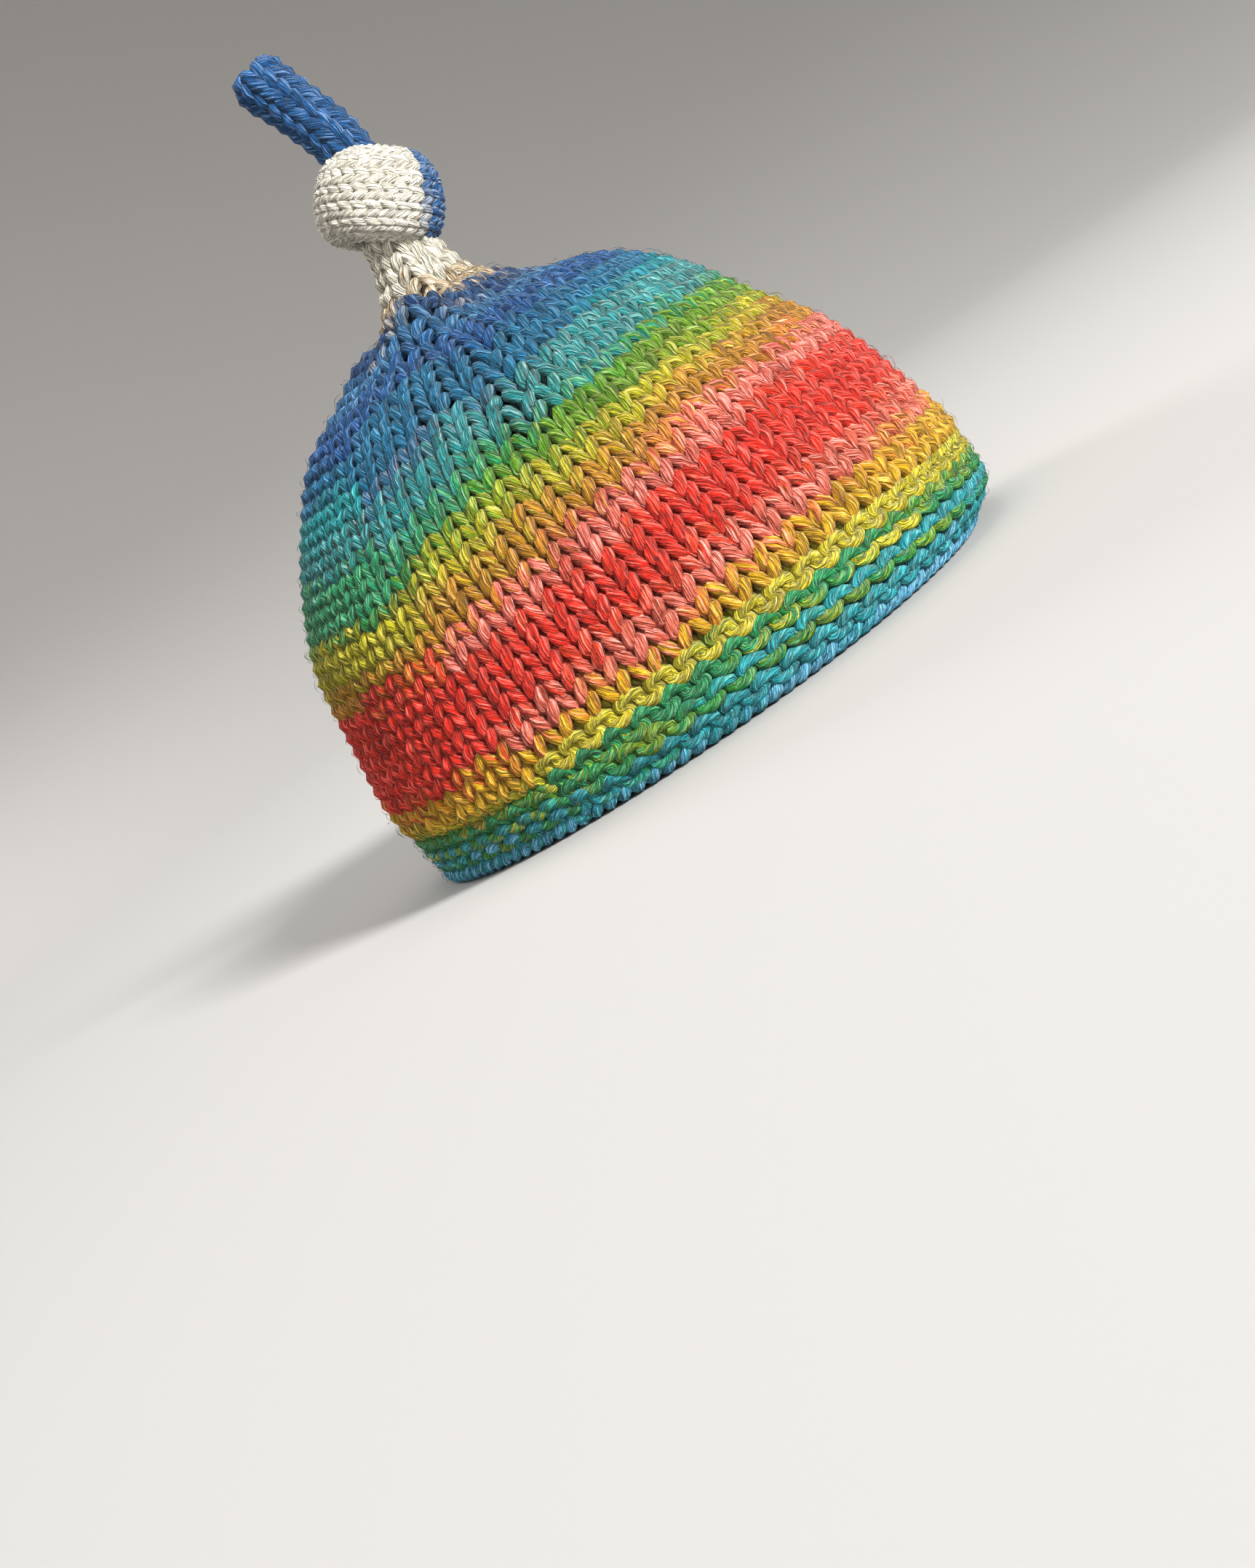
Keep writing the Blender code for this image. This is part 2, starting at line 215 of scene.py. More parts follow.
def dome_skin(turn, along):
    """Points of the dome's outer skin, folds included."""
    height, front, back, side = (
        smooth_curve(DOME[:, 0], DOME[:, column], along) for column in range(1, DOME.shape[1]))
    x = np.where(np.cos(turn) > 0, front, back) * DOME_FRONT * np.cos(turn)
    y = side * DOME_SIDE * np.sin(turn)
    reach = np.hypot(x + NECK_SETBACK, y)
    toward = np.degrees(np.arctan2(y, x + NECK_SETBACK))
    lift = 0.0
    for place, rise, spread, share in FOLDS:
        off = (toward - place + 180.0) % 360.0 - 180.0
        outward = np.exp(-(((reach - share * FOLD_REACH) / FOLD_BREADTH) ** 2))
        lift = lift + rise * FOLD_RISE * np.exp(-((off / spread) ** 2)) * outward
    z = height * CROWN_HEIGHT + lift * ease((reach - SEAT_RADIUS) / FOLD_EASE)
    return np.stack((x, y, z), axis=-1)


def neck_skin(turn, share):
    """Points of the neck's outer skin, from its seat up into the knot."""
    height = CROWN_HEIGHT + share * NECK_HEIGHT
    flare = smooth_curve(NECK[:, 0], NECK[:, 1], share)
    radius = NECK_WAIST + flare * (SEAT_RADIUS - NECK_WAIST)
    lean = CORD_LEAN * (height - CROWN_HEIGHT) / (KNOT_HIGH - CROWN_HEIGHT)
    return np.stack((-NECK_SETBACK + lean + radius * np.cos(turn), radius * np.sin(turn),
                     height + 0.0 * turn), axis=-1)


CLOTH_LINES = 260


def cloth(points, depth, seat=None, length=None):
    """A cloth to knit on: the middle layer of a skin, looked up by turn and by metres up it.

    points is a grid of the outer skin, turns by rises, with the first turn repeated at the end.
    length is what the way up to the row called seat counts as on every side.
    """
    onward = np.roll(points[:-1], -1, axis=0) - np.roll(points[:-1], 1, axis=0)
    onward = np.concatenate((onward, onward[:1]))
    out = np.cross(onward, np.gradient(points, axis=1))
    out /= np.linalg.norm(out, axis=-1, keepdims=True)
    middle = points - depth * out
    way = np.zeros(points.shape[:2])
    way[:, 1:] = np.cumsum(np.linalg.norm(np.diff(points, axis=1), axis=-1), axis=1)
    if seat is not None:
        to_seat = way[:, seat:seat + 1].copy()
        way = np.where(way < to_seat, way / to_seat * length, way - to_seat + length)
    top = way[:, -1].min()
    lines = np.linspace(0.0, top, CLOTH_LINES)
    table = np.empty((len(points), len(lines), 6))
    for turn in range(len(points)):
        for axis in range(3):
            table[turn, :, axis] = np.interp(lines, way[turn], middle[turn, :, axis])
            table[turn, :, 3 + axis] = np.interp(lines, way[turn], out[turn, :, axis])
    around = np.linalg.norm(np.diff(table[:, :, :3], axis=0), axis=-1).sum(axis=0)
    return {"table": table, "lines": lines, "around": around, "top": top}


def on_cloth(base, turn, up):
    """Points of the middle layer and outward directions there."""
    table = base["table"]
    place = (turn / (2 * np.pi)) % 1.0 * (len(table) - 1)
    level = np.clip(up / base["top"], 0.0, 1.0) * (len(base["lines"]) - 1)
    i = np.minimum(place.astype(int), len(table) - 2)
    j = np.minimum(level.astype(int), len(base["lines"]) - 2)
    a, b = (place - i)[..., None], (level - j)[..., None]
    found = ((table[i, j] * (1 - a) + table[i + 1, j] * a) * (1 - b)
             + (table[i, j + 1] * (1 - a) + table[i + 1, j + 1] * a) * b)
    out = found[..., 3:]
    return found[..., :3], out / np.linalg.norm(out, axis=-1, keepdims=True)


# Share by which the yarn is painted darker on its side against the cloth, as painted shade.
FAR_SIDE_SHADE = 0.55
YARN_SIDES = 7
YARN_GIRTH = 0.0075
STRIP_MARGIN = 0.04


def yarn(name, centres, out, radii, shades, twist_pitch, material, sides=YARN_SIDES,
         piece_rings=None):
    """One length of yarn as a closed tube along its centre line.

    A grid as long as the yarn is rolled up across its width. Its seam and ends are merged.
    The map called yarn holds turns of twist along it and the way round it, and the map called
    OFBake lays it out in strips. shades holds the colour of each point, with painted shade where
    the yarn dips already in it, and that of one of its strands, each kept as a colour attribute.
    Both are painted darker on the side that lies against the cloth, as painted shade.
    piece_rings cuts it into pieces of so many rings, each with closed ends.
    """
    rings = len(centres)
    shape = bmesh.new()
    bmesh.ops.create_grid(shape, x_segments=sides, y_segments=rings - 1, size=1.0)
    mesh = bpy.data.meshes.new(name)
    shape.to_mesh(mesh)
    ring, side = np.divmod(np.arange(len(mesh.vertices)), sides + 1)
    ahead = np.gradient(centres, axis=0)
    ahead /= np.linalg.norm(ahead, axis=1, keepdims=True)
    across = np.cross(ahead, out)
    across /= np.linalg.norm(across, axis=1, keepdims=True)
    upper = np.cross(across, ahead)
    angle = (side % sides)[:, None] * 2 * np.pi / sides
    held = radii.copy()
    ends = np.arange(rings) % (piece_rings or rings)
    held[(ends == 0) | (ends == (piece_rings or rings) - 1)] = 0.0
    places = centres[ring] + held[ring][:, None] * (np.cos(angle) * upper[ring]
                                                    + np.sin(angle) * across[ring])
    places[:, 2] = np.maximum(places[:, 2], 0.0)
    mesh.vertices.foreach_set("co", places.astype(np.float32).ravel())
    # The colours, with painted shade on the side against the cloth, go into two colour attributes.
    for label, colours in zip(("dye_and_shade", "strand"), shades):
        layer = mesh.attributes.new(label, "FLOAT_COLOR", "POINT")
        filled = np.ones((len(ring), 4))
        filled[:, :3] = colours[ring] * (1 - FAR_SIDE_SHADE * (1 - np.cos(angle)) / 2)
        layer.data.foreach_set("color", filled.astype(np.float32).ravel())
    corners = np.empty(len(mesh.loops), dtype=np.int32)
    mesh.loops.foreach_get("vertex_index", corners)
    loop_ring, loop_side = ring[corners], side[corners]
    way = np.concatenate(((0.0,), np.cumsum(np.linalg.norm(np.diff(centres, axis=0), axis=1))))
    twist = np.stack((way[loop_ring] / twist_pitch, loop_side / sides), axis=1)
    mesh.uv_layers.new(name="yarn").data.foreach_set("uv", twist.astype(np.float32).ravel())
    strips = max(1, int(math.sqrt(way[-1] / YARN_GIRTH)))
    per_strip = math.ceil((rings - 1) / strips)
    quad_ring = np.repeat(loop_ring.reshape(-1, 4).min(axis=1), 4)
    strip = quad_ring // per_strip
    strip_side = STRIP_MARGIN + (1 - 2 * STRIP_MARGIN) * loop_side / sides
    spots = np.stack(((loop_ring - strip * per_strip) / per_strip, (strip + strip_side) / strips),
                     axis=1)
    mesh.uv_layers.new(name="OFBake").data.foreach_set("uv", spots.astype(np.float32).ravel())
    shape.clear()
    shape.from_mesh(mesh)
    if piece_rings:
        shape.faces.ensure_lookup_table()
        between = np.flatnonzero(quad_ring[::4] % piece_rings == piece_rings - 1)
        bmesh.ops.delete(shape, geom=[shape.faces[index] for index in between], context="FACES")
    bmesh.ops.remove_doubles(shape, verts=shape.verts, dist=1e-7)
    bmesh.ops.recalc_face_normals(shape, faces=shape.faces)
    bpy.data.meshes.remove(mesh)
    made = add_object(name, shape)
    made.data.materials.append(material)
    return made


# Loose fibres: rings and sides of each, its thickness and colour, the range of its length and
# of its lift off the yarn, how deep its roots go, how far it leans round the yarn and turns
# off the yarn's way in radians, and the rings left bare at the yarn's two ends.
FIBRE_RINGS, FIBRE_SIDES = 5, 3
FIBRE_RADIUS, FIBRE_TIP, FIBRE_LIGHTER = 0.000045, 0.25, 1.3
FIBRE_LENGTHS, FIBRE_LIFTS, FIBRE_ROOT = (0.0018, 0.0045), (0.0003, 0.0011), 0.0002
FIBRE_LEAN, FIBRE_TURN = 0.7, 1.2
BARE_RINGS = 8
fibre_rng = np.random.default_rng(11)


def fuzz(name, count, centres, out, radii, shades, material):
    """Fine fibres that stand off the yarn in low arcs, each a closed sliver."""
    ringed = np.arange(BARE_RINGS, len(centres) - BARE_RINGS)
    spots = np.sort(fibre_rng.choice(ringed, count, replace=False))
    ahead = centres[spots + 2] - centres[spots - 2]
    ahead /= np.linalg.norm(ahead, axis=1, keepdims=True)
    across = np.cross(ahead, out[spots])
    across /= np.linalg.norm(across, axis=1, keepdims=True)
    roll = fibre_rng.normal(0.0, FIBRE_LEAN, (count, 1))
    away = np.cos(roll) * out[spots] + np.sin(roll) * across
    heading = fibre_rng.uniform(-FIBRE_TURN, FIBRE_TURN, (count, 1))
    run = np.cos(heading) * ahead + np.sin(heading) * np.cross(away, ahead)
    length = fibre_rng.uniform(*FIBRE_LENGTHS, (count, 1, 1))
    lift = fibre_rng.uniform(*FIBRE_LIFTS, (count, 1, 1))
    t = np.linspace(-1.0, 1.0, FIBRE_RINGS)[None, :, None]
    rise = lift * (1 - t * t) - FIBRE_ROOT
    points = (centres[spots][:, None] + away[:, None] * (radii[spots][:, None, None] + rise)
              + run[:, None] * length * t / 2)
    thick = FIBRE_RADIUS * (1 + FIBRE_TIP - np.abs(t[..., 0])) + np.zeros((count, 1))
    colours = np.repeat(shades[0][spots], FIBRE_RINGS, axis=0) * FIBRE_LIGHTER
    return yarn(name, points.reshape(-1, 3), np.repeat(away, FIBRE_RINGS, axis=0),
                thick.ravel(), (colours, colours), 1.0, material, sides=FIBRE_SIDES,
                piece_rings=FIBRE_RINGS)


EVENED = 0.35


def stitch_plan(counts):
    """Places of every stitch in turn: its round, and the turns at its head, feet and sides.

    Where a round has fewer stitches than the one below, pairs of columns merge, staggered from
    round to round. In each round the columns move by the share EVENED towards even places.
    """
    rounds, heads, feet = [], [], []
    before = (np.arange(counts[0]) + 0.5) / counts[0]
    for number, count in enumerate(counts):
        low = before
        if count < len(before):
            merges = len(before) - count
            stagger = 0.25 + 0.5 * (number % 2)
            picked = (np.arange(merges) + stagger) * len(before) / merges
            picked = np.minimum(picked.astype(int), len(before) - 2)
            keep = np.ones(len(before), bool)
            low = before.copy()
            low[picked] = (before[picked] + before[picked + 1]) / 2
            keep[picked + 1] = False
            low = low[keep]
        even = (np.arange(len(low)) + 0.5) / len(low)
        high = low + (even - low) * EVENED
        rounds += [number] * len(low)
        heads.append(number + high)
        feet.append(number + low)
        before = high
    rounds, heads, feet = np.array(rounds), np.concatenate(heads), np.concatenate(feet)
    sides = (feet[1:] + feet[:-1]) / 2
    first = feet[0] - (sides[0] - feet[0])
    last = feet[-1] + (feet[-1] - sides[-1])
    sides = np.concatenate(((first,), sides, (last,)))
    return {"round": rounds, "head": heads, "foot": feet, "sides": sides}


STITCH_RINGS = 16
FORM_SIZES = ("half", "wave", "thick", "swell", "spread", "skew", "own", "next")


def stitch_path(base, plan, first, last, height_of, turn_of, form_of):
    """Centre line of the stitches from one round to another, as one run of yarn.

    Returns its points, outward directions, radii, turns, and how far each point is sunk.
    form_of gives for a round the loop's half height, the depth of its wave, the yarn's radius,
    the swell and spread of its legs, the loop's skew, and whether the round and the next one
    are knitted (1) or purled (-1).
    """
    pick = np.flatnonzero((plan["round"] >= first) & (plan["round"] <= last))
    phase = np.linspace(-np.pi, np.pi, STITCH_RINGS, endpoint=False)[None, :]
    foot, head = plan["foot"][pick][:, None], plan["head"][pick][:, None]
    before, after = plan["sides"][pick][:, None], plan["sides"][pick + 1][:, None]
    forms = [form_of(number) for number in plan["round"][pick]]
    half, wave, thick, swell, spread, skew, own, next_kind = (
        np.array([form[size] for form in forms])[:, None] for size in FORM_SIZES)
    centre = foot + (head - foot) * (1 + np.cos(phase)) / 2
    reach = np.where(phase > 0, after - foot, foot - before) * phase / np.pi
    turns = centre + reach + spread * (after - before) * np.sin(2 * phase)
    up = height_of(turns)
    girth = np.interp(up, base["lines"], base["around"])
    turns = turns + skew * half * np.cos(phase) / girth
    up = up + half * np.cos(phase)
    middle, out = on_cloth(base, turn_of(turns, up), up)
    changed, alike = (own - next_kind) / 2, (own + next_kind) / 2
    depth = wave * (changed * np.cos(phase) - alike * np.cos(2 * phase))
    radius = thick * (1 - swell * np.cos(2 * phase))
    points = middle + depth[..., None] * out
    sunk = np.clip(0.5 - depth / (2 * wave), 0.0, 1.0)
    return points.reshape(-1, 3), out.reshape(-1, 3), radius.ravel(), turns.ravel(), sunk.ravel()


PLIES, PLY_WANDER, GROOVE_POWER = 6, 0.55, 0.68
PLIES_DEPTH, FIBRES_DEEP = 0.0008, 0.35
RIDGE_LEAST, FINE_SHARE = 0.36, 0.24
# The colour's saturation, most where the painted shade of the grooves is deepest and falling as it
# lightens, and the range of lit fibres that take the painted highlight.
DEEPEST_SATURATION, SATURATION_FADE, LIT_RANGE = 1.42, 0.22, (0.45, 1.00)
# Noise in the wool: how fine it is round the yarn and along it, its detail, and the values
# of it that count as none and as all.
WANDER_NOISE = (1.6, 2.2, 2.0)
COARSE_NOISE, COARSE_RANGE = (3.6, 4.5, 3.0), (0.38, 0.60)
FINE_NOISE, FINE_RANGE = (6.5, 7.0, 2.0), (0.38, 0.62)
MARL_NOISE, MARL_RANGE, MARL_MOST = (1.3, 1.2, 1.0), (0.48, 0.58), 0.8


def wool(name, pale, streak, lift=0.06):
    """Matt plied wool in the colour of the dye, with painted highlights along its fibres and
    painted shade in its grooves.

    pale is the colour of its painted highlights and of its sheen, streak the most of the highlight
    that shows, and lift the least lightness in a groove.
    """
    material = bpy.data.materials.new(name)
    material.use_nodes = True
    nodes, links = material.node_tree.nodes, material.node_tree.links
    shader = nodes["Principled BSDF"]

    def node(kind, links_in=(), **settings):
        """The first output of a new node, with its sockets linked or set."""
        made = nodes.new(kind)
        for key, value in settings.items():
            setattr(made, key, value)
        for socket, source in links_in:
            if isinstance(source, (int, float, tuple)):
                made.inputs[socket].default_value = source
            else:
                links.new(source, made.inputs[socket])
        return made.outputs[0]

    def sum_of(operation, first, second=0.0):
        """Result of a sum."""
        return node("ShaderNodeMath", ((0, first), (1, second)), operation=operation)

    def share_of(value, low, high, most=1.0):
        """A share from 0 to most, as the value goes from low to high."""
        return node("ShaderNodeMapRange", (("Value", value), ("From Min", low), ("From Max", high),
                                           ("To Max", most)))

    def mixed(share, first, second):
        """Mix of two colours."""
        mix = nodes.new("ShaderNodeMix")
        mix.data_type = "RGBA"
        for socket, source in ((0, share), (6, first), (7, second)):
            if isinstance(source, tuple):
                mix.inputs[socket].default_value = source
            else:
                links.new(source, mix.inputs[socket])
        return mix.outputs[2]

    def noise_round(reach, stretch, detail):
        """Noise that goes round the yarn reach times as fine, drawn out along its twist."""
        spot = node("ShaderNodeCombineXYZ", (
            (0, sum_of("MULTIPLY", sum_of("COSINE", angle), reach)),
            (1, sum_of("MULTIPLY", sum_of("SINE", angle), reach)),
            (2, sum_of("MULTIPLY", along, stretch))))
        return node("ShaderNodeTexNoise", (("Vector", spot), ("Scale", 1.0), ("Detail", detail),
                                           ("Roughness", 0.65)))

    place = nodes.new("ShaderNodeSeparateXYZ")
    links.new(node("ShaderNodeUVMap", uv_map="yarn"), place.inputs[0])
    along, round_it = place.outputs[0], place.outputs[1]
    spiral = sum_of("ADD", round_it, along)
    angle = sum_of("MULTIPLY", spiral, 2 * math.pi)

    # Grooves between the plies, which wander, and fibres in two sizes that lie along them. The
    # grooves are bumped and also painted darker, as painted shade.
    wander = sum_of("SUBTRACT", noise_round(*WANDER_NOISE), 0.5)
    wander = sum_of("MULTIPLY", wander, PLY_WANDER)
    turned = sum_of("MULTIPLY", sum_of("ADD", spiral, wander), PLIES * math.pi)
    groove = sum_of("POWER", sum_of("ABSOLUTE", sum_of("SINE", turned)), GROOVE_POWER)
    coarse = share_of(noise_round(*COARSE_NOISE), *COARSE_RANGE)
    fine = share_of(noise_round(*FINE_NOISE), *FINE_RANGE)
    ridges = sum_of("MULTIPLY", groove, sum_of("ADD", coarse, RIDGE_LEAST))
    lightness = sum_of("ADD", ridges, sum_of("MULTIPLY", fine, FINE_SHARE))
    lightness = sum_of("ADD", lightness, lift)

    # Patches where a strand of the next shade lies on top. The painted shade in the grooves is
    # more saturated, and lit fibres on the plies get a painted highlight in the pale colour.
    marl = share_of(noise_round(*MARL_NOISE), *MARL_RANGE, MARL_MOST)
    dye_and_shade = mixed(marl, node("ShaderNodeAttribute", attribute_name="dye_and_shade"),
                node("ShaderNodeAttribute", attribute_name="strand"))
    depth = sum_of("ADD", sum_of("MULTIPLY", lightness, -SATURATION_FADE), DEEPEST_SATURATION)
    shade = node("ShaderNodeHueSaturation", (("Saturation", depth), ("Value", lightness),
                                             ("Color", dye_and_shade)))
    lit = sum_of("MULTIPLY", sum_of("MULTIPLY", coarse, groove), groove)
    lit_colour = mixed(share_of(lit, *LIT_RANGE, streak), shade, (*pale, 1.0))
    links.new(lit_colour, shader.inputs["Base Color"])
    fibres = sum_of("MULTIPLY", sum_of("ADD", coarse, fine), FIBRES_DEEP)
    height = sum_of("ADD", groove, fibres)
    bump = node("ShaderNodeBump", (("Height", height), ("Strength", 1.0),
                                   ("Distance", PLIES_DEPTH)))
    links.new(bump, shader.inputs["Normal"])
    shader.inputs["Roughness"].default_value = 0.80
    shader.inputs["Specular IOR Level"].default_value = 0.20
    shader.inputs["Sheen Weight"].default_value = 0.15
    shader.inputs["Sheen Roughness"].default_value = 0.45
    shader.inputs["Sheen Tint"].default_value = (*pale, 1.0)
    return material


# The hat's cloth, from the rim to inside the knot. DOME_WAY is the way up the dome.
DOME_WAY = 0.1190
CLOTH_DEPTH = 0.0020
TURN_GRID = np.linspace(0.0, 2 * np.pi, 289)
dome_shares = np.linspace(0.0, 1.0, 200)
neck_shares = np.linspace(0.0, NECK[-1, 0], 40)[1:]
hat_skin = np.concatenate((dome_skin(TURN_GRID[:, None], dome_shares[None, :]),
                           neck_skin(TURN_GRID[:, None], neck_shares[None, :])), axis=1)
hat_cloth = cloth(hat_skin, CLOTH_DEPTH, seat=len(dome_shares) - 1, length=DOME_WAY)

# Rounds: the first is the cast-on edge, then the garter rounds, then plain knitting, which
# sits close to the last ridge and is a little looser in its first rounds.
STITCHES = 64
NECK_STITCHES = 9
NARROWEST_STITCH = 0.0050
GARTER_ROUNDS, LOOSE_ROUNDS = 8, 4
GARTER_PITCH, FIRST_PITCH, LOOSE_PITCH, PLAIN_PITCH = 0.00197, 0.00165, 0.00327, 0.00305
EDGE_HEIGHT = 0.0022
TOP_CLEAR = 0.003
round_heights = [EDGE_HEIGHT + GARTER_PITCH * number for number in range(GARTER_ROUNDS + 1)]
round_heights.append(round_heights[-1] + FIRST_PITCH)
for _ in range(LOOSE_ROUNDS):
    round_heights.append(round_heights[-1] + LOOSE_PITCH)
while round_heights[-1] < hat_cloth["top"] + PLAIN_PITCH:
    round_heights.append(round_heights[-1] + PLAIN_PITCH)
round_heights = np.array(round_heights)
top_round = int(np.searchsorted(round_heights, hat_cloth["top"] - TOP_CLEAR))
counts = []
for number in range(top_round + 1):
    around = float(np.interp(round_heights[number], hat_cloth["lines"], hat_cloth["around"]))
    count = min(STITCHES, int(around / NARROWEST_STITCH))
    count = max(count, NECK_STITCHES, (counts[-1] + 1) // 2 if counts else 0)
    counts.append(min(count, counts[-1]) if counts else count)
hat_plan = stitch_plan(counts)

# The columns lean left, the first rounds step up where they start, and the others spiral up.
ROUND_START = math.radians(-122.5)
LEAN = math.radians(18.0)
STEP_WIDTH = 2.0 / STITCHES
RISING_FROM, RISING_BY = 1.0, 5.0
# The rounds sag towards their start: the part of a round against the share of the sag there,
# and metres up the cloth against the sag at its deepest.
SAG_ROUND = np.array(((0.0, 1.0), (0.17, 1.0), (0.45, 0.15), (0.68, 0.0), (0.80, 0.07),
                      (0.85, 0.20), (0.90, 0.38), (0.95, 0.68), (1.0, 1.0)))
SAG_UP = np.array(((0.0, 0.0), (0.018, 0.0056), (0.045, 0.0070), (0.085, 0.0070), (0.119, 0.0),
                   (0.200, 0.0)))


def hat_height(turns):
    """Metres up the cloth at a number of rounds."""
    number = np.clip(np.floor(turns), 0, len(round_heights) - 2).astype(int)
    part = turns - number
    spiral = ease((number - RISING_FROM) / (RISING_BY - RISING_FROM))
    rise = spiral * part + (1 - spiral) * ease((part - 1 + STEP_WIDTH) / STEP_WIDTH)
    up = round_heights[number] + (round_heights[number + 1] - round_heights[number]) * rise
    sag = smooth_curve(SAG_UP[:, 0], SAG_UP[:, 1], up)
    return up - sag * smooth_curve(SAG_ROUND[:, 0], SAG_ROUND[:, 1], part)


def hat_turn(turns, up):
    """Angle from the front at a number of rounds and at metres up the cloth."""
    return ROUND_START - LEAN * up / DOME_WAY - 2 * np.pi * turns


def hat_form(number):
    """Shape of the loops of a round of the hat."""
    if number > GARTER_ROUNDS:
        return {"half": 0.0031, "wave": 0.0016, "thick": 0.00115, "swell": 0.16, "spread": 0.23,
                "skew": -0.20, "own": 1.0, "next": 1.0}
    return {"half": 0.0024, "wave": 0.0012, "thick": 0.00124, "swell": 0.04, "spread": 0.21,
            "skew": 0.05, "own": -1.0 if number % 2 == 0 else 1.0,
            "next": -1.0 if number < GARTER_ROUNDS and number % 2 == 1 else 1.0}


# The dye changes as the yarn runs on. Each row is a shade and the rounds at which it starts,
# one for each of these parts of a turn.
DYE_PARTS = (0.17, 0.70, 0.80, 0.90, 0.96)
DYES = (
    (srgb(145, 210, 245), (0.0, 0.0, 0.0, 0.0, 0.0)),
    (srgb(40, 175, 185), (1.5, 0.9, 0.9, 0.8, 0.6)),
    (srgb(50, 160, 95), (3.6, 4.2, 4.1, 3.6, 2.8)),
    (srgb(150, 175, 45), (5.0, 5.2, 5.0, 4.2, 3.8)),
    (srgb(50, 160, 95), (5.4, 5.8, 5.6, 4.8, 4.6)),
    (srgb(240, 220, 20), (7.0, 7.0, 7.0, 7.0, 7.0)),
    (srgb(80, 150, 60), (8.0, 9.0, 9.0, 9.0, 9.0)),
    (srgb(235, 182, 52), (9.2, 9.0, 9.0, 9.0, 9.0)),
    (srgb(255, 158, 146), (11.5, 12.0, 12.0, 11.3, 10.9)),
    (srgb(245, 45, 30), (11.5, 14.3, 14.1, 14.0, 13.0)),
    (srgb(255, 158, 148), (18.5, 18.7, 18.4, 17.3, 16.8)),
    (srgb(204, 148, 66), (18.5, 21.1, 20.7, 19.5, 18.8)),
    (srgb(194, 186, 20), (20.2, 23.5, 23.0, 21.8, 20.9)),
    (srgb(105, 160, 35), (22.9, 24.5, 24.4, 24.0, 23.0)),
    (srgb(40, 155, 105), (22.9, 26.8, 26.4, 26.0, 23.8)),
    (srgb(12, 152, 154), (26.9, 27.8, 27.1, 26.9, 25.8)),
    (srgb(20, 106, 144), (31.5, 31.0, 30.4, 30.0, 28.6)),
    (srgb(34, 80, 142), (33.5, 33.2, 33.2, 33.5, 34.4)),
    (srgb(78, 116, 154), (35.9, 35.6, 35.8, 36.2, 36.6)),
    (srgb(205, 192, 172), (39.0, 39.0, 39.0, 38.7, 38.6)),
    (srgb(26, 60, 112), (39.0, 39.0, 39.0, 39.1, 39.3)),
    (srgb(216, 192, 158), (41.7, 41.5, 41.5, 41.5, 41.7)),
    (srgb(252, 245, 226), (43.8, 43.6, 44.0, 45.0, 44.4)),
)
# A shade blends into the next over DYE_EDGE rounds. Where it starts wanders, and its tone
# varies, in so many steps a round.
DYE_EDGE = 0.5
DYE_WANDER, GARTER_WANDER, WANDER_STEPS = 0.32, 1.3, 40.0
DYE_TONE, TONE_STEPS = 0.10, 90.0
DYE_STEPS = 8000
STRAND_AHEAD = 0.9
# How much darker the yarn is painted where it dips under its neighbours, as painted shade.
SUNK_SHADE = 0.60
dye_rng = np.random.default_rng(7)
dye_wander = dye_rng.normal(0.0, DYE_WANDER, DYE_STEPS)
dye_tone = dye_rng.normal(1.0, DYE_TONE, DYE_STEPS)


def dye_at(turns, onward=0.0):
    """Colour of the yarn at a number of rounds, or what it is so many rounds further on."""
    number = np.floor(turns)
    part = turns - number
    garter = number <= GARTER_ROUNDS
    steps = np.arange(DYE_STEPS)
    wander = np.interp(turns * WANDER_STEPS, steps, dye_wander)
    level = number + 0.5 + np.where(garter, wander * GARTER_WANDER, part + wander) + onward
    colour = np.tile(DYES[0][0], (len(turns), 1))
    for shade, starts in DYES[1:]:
        start = np.interp(part, DYE_PARTS, starts)
        weight = np.clip((level - start) / DYE_EDGE + 0.5, 0.0, 1.0)[:, None]
        colour = colour * (1 - weight) + np.array(shade) * weight
    return colour * np.interp(turns * TONE_STEPS, steps, dye_tone)[:, None]


def hat_shades(turns, sunk):
    """Colours of the yarn and of its strand that runs a little ahead, with painted shade where it
    dips.
    """
    light = (1 - SUNK_SHADE * sunk)[:, None]
    ahead = np.where(turns < GARTER_ROUNDS + 1, STRAND_AHEAD / 2, STRAND_AHEAD)
    return dye_at(turns) * light, dye_at(turns, ahead) * light


def hat_strand(first, last):
    """Points, outward directions, radii and colours of the hat's yarn from round to round."""
    points, out, radii, turns, sunk = stitch_path(hat_cloth, hat_plan, first, last, hat_height,
                                                  hat_turn, hat_form)
    return points, out, radii, hat_shades(turns, sunk)


